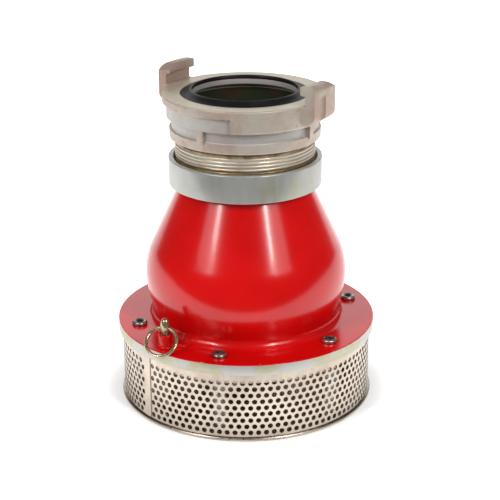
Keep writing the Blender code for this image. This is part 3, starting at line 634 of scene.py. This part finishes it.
def make_band(sheet):
    """Perforated sheet, laid out flat with a plain strip, rolled into a band and given its thickness."""
    radius = BAND_RADIUS
    around = math.tau * radius
    half = HOLE_PITCH / 2.0
    bm = hole_cell()
    cell = bm.verts[:] + bm.edges[:] + bm.faces[:]
    for column in range(1, HOLE_COLUMNS):
        copied(bm, cell, (HOLE_PITCH * column, 0, 0))
    row = bm.verts[:] + bm.edges[:] + bm.faces[:]
    for index in range(1, HOLE_ROWS):
        copied(bm, row, (half * (index % 2), 0, ROW_PITCH * index))
    for index in range(HOLE_ROWS):
        shift = half * (index % 2)
        start, stop = HOLE_PITCH * HOLE_COLUMNS + shift, around + shift
        extra = around if index % 2 else start + half
        low, high = ROW_PITCH * index, ROW_PITCH * (index + 1)
        strip = [(start, low), (extra, low), (stop, low), (stop, high), (extra, high), (start, high)]
        bm.faces.new([bm.verts.new((x, 0.0, z)) for x, z in strip])
    bmesh.ops.remove_doubles(bm, verts=bm.verts, dist=1e-3)
    lowest, highest = FIRST_ROW - ROW_PITCH / 2.0, FIRST_ROW + ROW_PITCH * (HOLE_ROWS - 0.5)
    bmesh.ops.translate(bm, verts=bm.verts, vec=(0, 0, lowest))
    for level, target in ((lowest, BAND_BOTTOM), (highest, BAND_TOP)):
        rim = [edge for edge in bm.edges if all(abs(vert.co.z - level) < 0.01 for vert in edge.verts)]
        wall = bmesh.ops.extrude_edge_only(bm, edges=rim)["geom"]
        moved = [item for item in wall if isinstance(item, bmesh.types.BMVert)]
        bmesh.ops.translate(bm, verts=moved, vec=(0, 0, target - level))
    strip_middle = (HOLE_PITCH * HOLE_COLUMNS + around + half) / 2.0
    for vert in bm.verts:
        bearing = SEAM_BEARING + math.degrees((vert.co.x - strip_middle) / radius)
        vert.co = bearing_point(radius, bearing, vert.co.z)
    bmesh.ops.remove_doubles(bm, verts=bm.verts, dist=2e-5)
    bmesh.ops.recalc_face_normals(bm, faces=bm.faces)
    bmesh.ops.solidify(bm, geom=bm.faces[:], thickness=BAND_WALL * MM)
    return settle(finished(bm, "perforated_band", sheet), "root", "stainless_sheet", "strainer_band")


def make_seam(sheet):
    """The lap where the band's ends are joined."""
    outline = eased([(116.6, 4.4, 0.0), (117.2, 4.4, 0.2), (117.2, 64.6, 0.2), (116.6, 64.6, 0.0)])
    return settle(finished(swept(outline, SEAM_BEARING, 4.2, 6), "band_lap", sheet), "root",
                  "stainless_sheet")


def make_base(sheet):
    """Floor sheet with a rolled rim that the valve stands on."""
    rim = [(112.0, 3.4)] + arc((116.9, 1.7), 1.7, 60.0, -150.0, 14) + [(112.0, 2.0)]
    outline = [(0.0, 2.0)] + rim[::-1] + [(0.0, 3.4)]
    return settle(finished(spun(outline), "strainer_floor", sheet), "root", "stainless_sheet",
                  "strainer_base")


# ---------------------------------------------------------------- fasteners, rod and ring

def make_screws(steel):
    """Button-head screws with hexagon sockets."""
    seat = FLANGE_TOP + GAP
    for index, bearing in enumerate(SCREW_BEARINGS):
        outline = [(0.0, 36.0), (3.2, 36.0), (4.0, 36.8), (4.0, seat), (6.7, seat), (7.0, seat + 0.3)]
        outline += arc((5.2, seat + 1.5), 1.8, 0.0, 90.0, 8) + [(4.4, seat + 3.2), (3.9, seat + 2.8)]
        outline += [(0.0, seat + 2.8)]
        screw = finished(spun(outline, SMALL_STEPS), f"socket_screw_{index + 1}", steel)
        key = finished(spun([(0.0, seat - 1.0), (3.8, seat - 1.0), (3.8, seat + 9.0), (0.0, seat + 9.0)], 6),
                       "key", None)
        combined(screw, [key], "DIFFERENCE", steel)
        spot = bearing_point(SCREW_CIRCLE, bearing, 0.0)
        place = Matrix.Translation(spot) @ bearing_turn(bearing + 11.0 * index)
        screw.data.transform(place)
        settle(screw, "root", "steel", f"flange_screw_{index + 1}")


def make_stud(brass):
    """Pull rod with a waisted acorn head that the ring passes through."""
    neck = FLANGE_TOP + 12.3
    head = bezier((3.4, neck + 2.4), (4.9, neck + 4.4), (4.5, neck + 11.5), (2.6, neck + 13.6), 12)
    outline = [(0.0, 5.5), (2.5, 5.5), (2.5, neck), (3.4, neck + 0.2)] + head
    outline += [(1.4, neck + 14.5), (0.0, neck + 14.7)]
    rod = finished(spun(outline, 40), "ring_stud", brass)
    eye = spun([(0.0, -8.0), (2.6, -8.0), (2.6, 8.0), (0.0, 8.0)], SMALL_STEPS)
    turn = bearing_turn(RING_AXIS_BEARING - ROD_BEARING + 90.0) @ Matrix.Rotation(math.pi / 2.0, 4, "Y")
    bmesh.ops.transform(eye, matrix=Matrix.Translation((0, 0, EYE_HEIGHT * MM)) @ turn, verts=eye.verts)
    combined(rod, [finished(eye, "eye", None)], "DIFFERENCE", brass)
    rod.data.transform(Matrix.Translation(bearing_point(ROD_CIRCLE, ROD_BEARING, 0.0))
                       @ bearing_turn(ROD_BEARING))
    return settle(rod, "rod", "brass", "pull_rod")


def make_ring(brass):
    """Round wire ring threaded through the stud's eye."""
    axis = bearing_point(1.0 / MM, RING_AXIS_BEARING, 0.0)
    level = bearing_point(1.0 / MM, RING_AXIS_BEARING - 90.0, 0.0)
    drop = math.radians(RING_DROP)
    hang = level * math.cos(drop) - Vector((0, 0, 1)) * math.sin(drop)
    bm = bmesh.new()
    circle = bmesh.ops.create_circle(bm, radius=RING_WIRE * MM, segments=20)["verts"]
    bmesh.ops.rotate(bm, verts=circle, cent=(0, 0, 0), matrix=Matrix.Rotation(math.pi / 2.0, 3, "X"))
    bmesh.ops.translate(bm, verts=circle, vec=(RING_RADIUS * MM, 0, 0))
    bmesh.ops.spin(bm, geom=bm.verts[:] + bm.edges[:], cent=(0, 0, 0), axis=(0, 0, 1), angle=math.tau,
                   steps=96, use_merge=True)
    middle = bearing_point(ROD_CIRCLE, ROD_BEARING, EYE_HEIGHT) + hang * RING_RADIUS * MM
    turn = Matrix((hang, axis, hang.cross(axis))).transposed().to_4x4()
    bmesh.ops.transform(bm, matrix=Matrix.Translation(middle) @ turn, verts=bm.verts)
    return settle(finished(bm, "wire_ring", brass), "ring", "brass", "pull_ring")


# ---------------------------------------------------------------- camera, floor and light

def place_camera():
    data = bpy.data.cameras.new("camera")
    data.lens = 98.54
    data.sensor_width = 36.0
    data.clip_start = 0.01
    camera = bpy.data.objects.new("camera", data)
    bpy.context.scene.collection.objects.link(camera)
    pitch, yaw, roll = math.radians(20.763), math.radians(0.190), math.radians(-0.244)
    turn = Matrix.Rotation(-yaw, 4, "Z") @ Matrix.Rotation(math.pi / 2.0 - pitch, 4, "X")
    camera.matrix_world = (Matrix.Translation((0.0, -1.1919, 0.5889)) @ turn
                           @ Matrix.Rotation(roll, 4, "Z"))
    bpy.context.scene.camera = camera


FLOOR_RADIUS = 6.0             # metres
FLOOR_MIDDLE = 5.73            # metres behind the valve, so that the near edge is just in front of it
SHADE_RADII = (112.0, 168.0)   # the floor glows less under the strainer than outside it, a painted contact shadow
SHADE_GLOW = 0.25


def make_floor():
    """A pale disc that glows like the background, and less close to the valve as a painted contact shadow."""
    finish = Finish("pale_floor")
    bm = bmesh.new()
    bmesh.ops.create_circle(bm, radius=FLOOR_RADIUS, segments=256, cap_ends=True)
    bmesh.ops.translate(bm, verts=bm.verts, vec=(0.0, FLOOR_MIDDLE, 0.0))
    # painted shadow: the glow falls off towards the valve
    painted_shadow_glow = finish.step(finish.radius(), SHADE_RADII[0], SHADE_RADII[1], SHADE_GLOW, 1.0)
    glow_color = finish.blend(painted_shadow_glow, (0.0, 0.0, 0.0, 1.0), (1.0, 1.0, 1.0, 1.0))
    floor = finished(bm, "floor", finish.surface(Base_Color=(0.8, 0.8, 0.8, 1.0), Roughness=0.7,
                                                 Specular_IOR_Level=0.1,
                                                 Emission_Color=glow_color, Emission_Strength=1.0))


def soft_box(bearing, distance, height, width, tall, power):
    """A rectangular lamp that looks at the middle of the valve."""
    data = bpy.data.lights.new("soft_box", "AREA")
    data.shape = "RECTANGLE"
    data.size = width
    data.size_y = tall
    data.energy = power
    lamp = bpy.data.objects.new("soft_box", data)
    lamp.location = bearing_point(distance / MM, bearing, height / MM)
    lamp.rotation_euler = (lamp.location - Vector((0, 0, 0.15))).to_track_quat("Z", "Y").to_euler()
    lamp.visible_camera = False
    bpy.context.scene.collection.objects.link(lamp)


def light_studio():
    """Soft boxes at the sides and low behind, and a world that only diffuse light finds bright."""
    soft_box(-52.0, 1.5, 1.15, 0.7, 0.8, 5.0)
    soft_box(-44.0, 1.4, 1.2, 0.18, 0.7, 8.0)
    soft_box(46.0, 1.5, 1.15, 0.6, 0.8, 4.0)
    soft_box(34.0, 1.4, 1.2, 0.12, 0.7, 11.0)
    soft_box(180.0, 1.6, 0.85, 2.2, 0.7, 6.5)
    world = bpy.data.worlds.new("studio")
    world.use_nodes = True
    bpy.context.scene.world = world
    tree = world.node_tree
    background = tree.nodes["Background"]
    path = tree.nodes.new("ShaderNodeLightPath")
    lit = tree.nodes.new("ShaderNodeMath")
    lit.operation = "MULTIPLY_ADD"
    lit.inputs[1].default_value = 0.28
    lit.inputs[2].default_value = 0.06
    seen = tree.nodes.new("ShaderNodeMath")
    seen.operation = "MAXIMUM"
    for source, target in ((path.outputs["Is Diffuse Ray"], lit.inputs[0]), (lit.outputs[0], seen.inputs[0]),
                           (path.outputs["Is Camera Ray"], seen.inputs[1]),
                           (seen.outputs[0], background.inputs["Strength"])):
        tree.links.new(source, target)
    background.inputs["Color"].default_value = (1.0, 1.0, 1.0, 1.0)
    bpy.context.scene.view_settings.view_transform = "Standard"


# ---------------------------------------------------------------- the whole valve

def build():
    place_camera()
    enamel = make_enamel()
    inside = make_painted_shade_inside()
    casting = make_casting()
    rubber = make_rubber()
    zinc = make_metal("zinc_plate", tint(188, 188, 184), tint(160, 161, 154), (0.30, 0.42),
                      (1.0, 1.0, 0.12), 420.0, 0.03, 18.0, 0.5,
                      tarnish=tint(172, 170, 128), tarnish_share=0.5)
    sheet = make_metal("stainless_sheet", tint(206, 194, 180), tint(178, 164, 150), (0.26, 0.38),
                       (1.0, 1.0, 0.1), 300.0, 0.02, 26.0, tarnish=tint(160, 140, 120), tarnish_share=0.35)
    brass = make_metal("brass", tint(204, 194, 162), tint(164, 148, 112), (0.18, 0.32),
                       (1.0, 1.0, 1.0), 700.0, 0.02, 70.0, 0.85,
                       tarnish=tint(136, 118, 84), tarnish_share=0.4)
    steel = make_metal("plated_steel", tint(196, 196, 192), tint(150, 150, 146), (0.26, 0.42),
                       (1.0, 1.0, 1.0), 500.0, 0.03, 60.0, tarnish=tint(110, 98, 84), tarnish_share=0.5)

    make_bell(enamel, inside)
    make_collar(zinc)
    make_boss(enamel)
    make_coupling(casting, inside)
    make_spigot(make_thread_finish(), inside)
    make_seal(rubber)
    make_band(sheet)
    make_seam(sheet)
    make_base(sheet)
    make_screws(steel)
    make_stud(brass)
    make_ring(brass)

    finishes = {"cast_aluminium": casting, "black_rubber": rubber, "brass": brass, "steel": steel,
                "stainless_sheet": sheet, "zinc_plate": zinc, "red_enamel": enamel}
    slots = {part["node"]: part["material_slot"] for part in frame["record"]["subparts"]}
    for name, node in frame["nodes"].items():
        node.data.materials.clear()
        node.data.materials.append(finishes[slots[name]])

    make_floor()
    light_studio()


build()
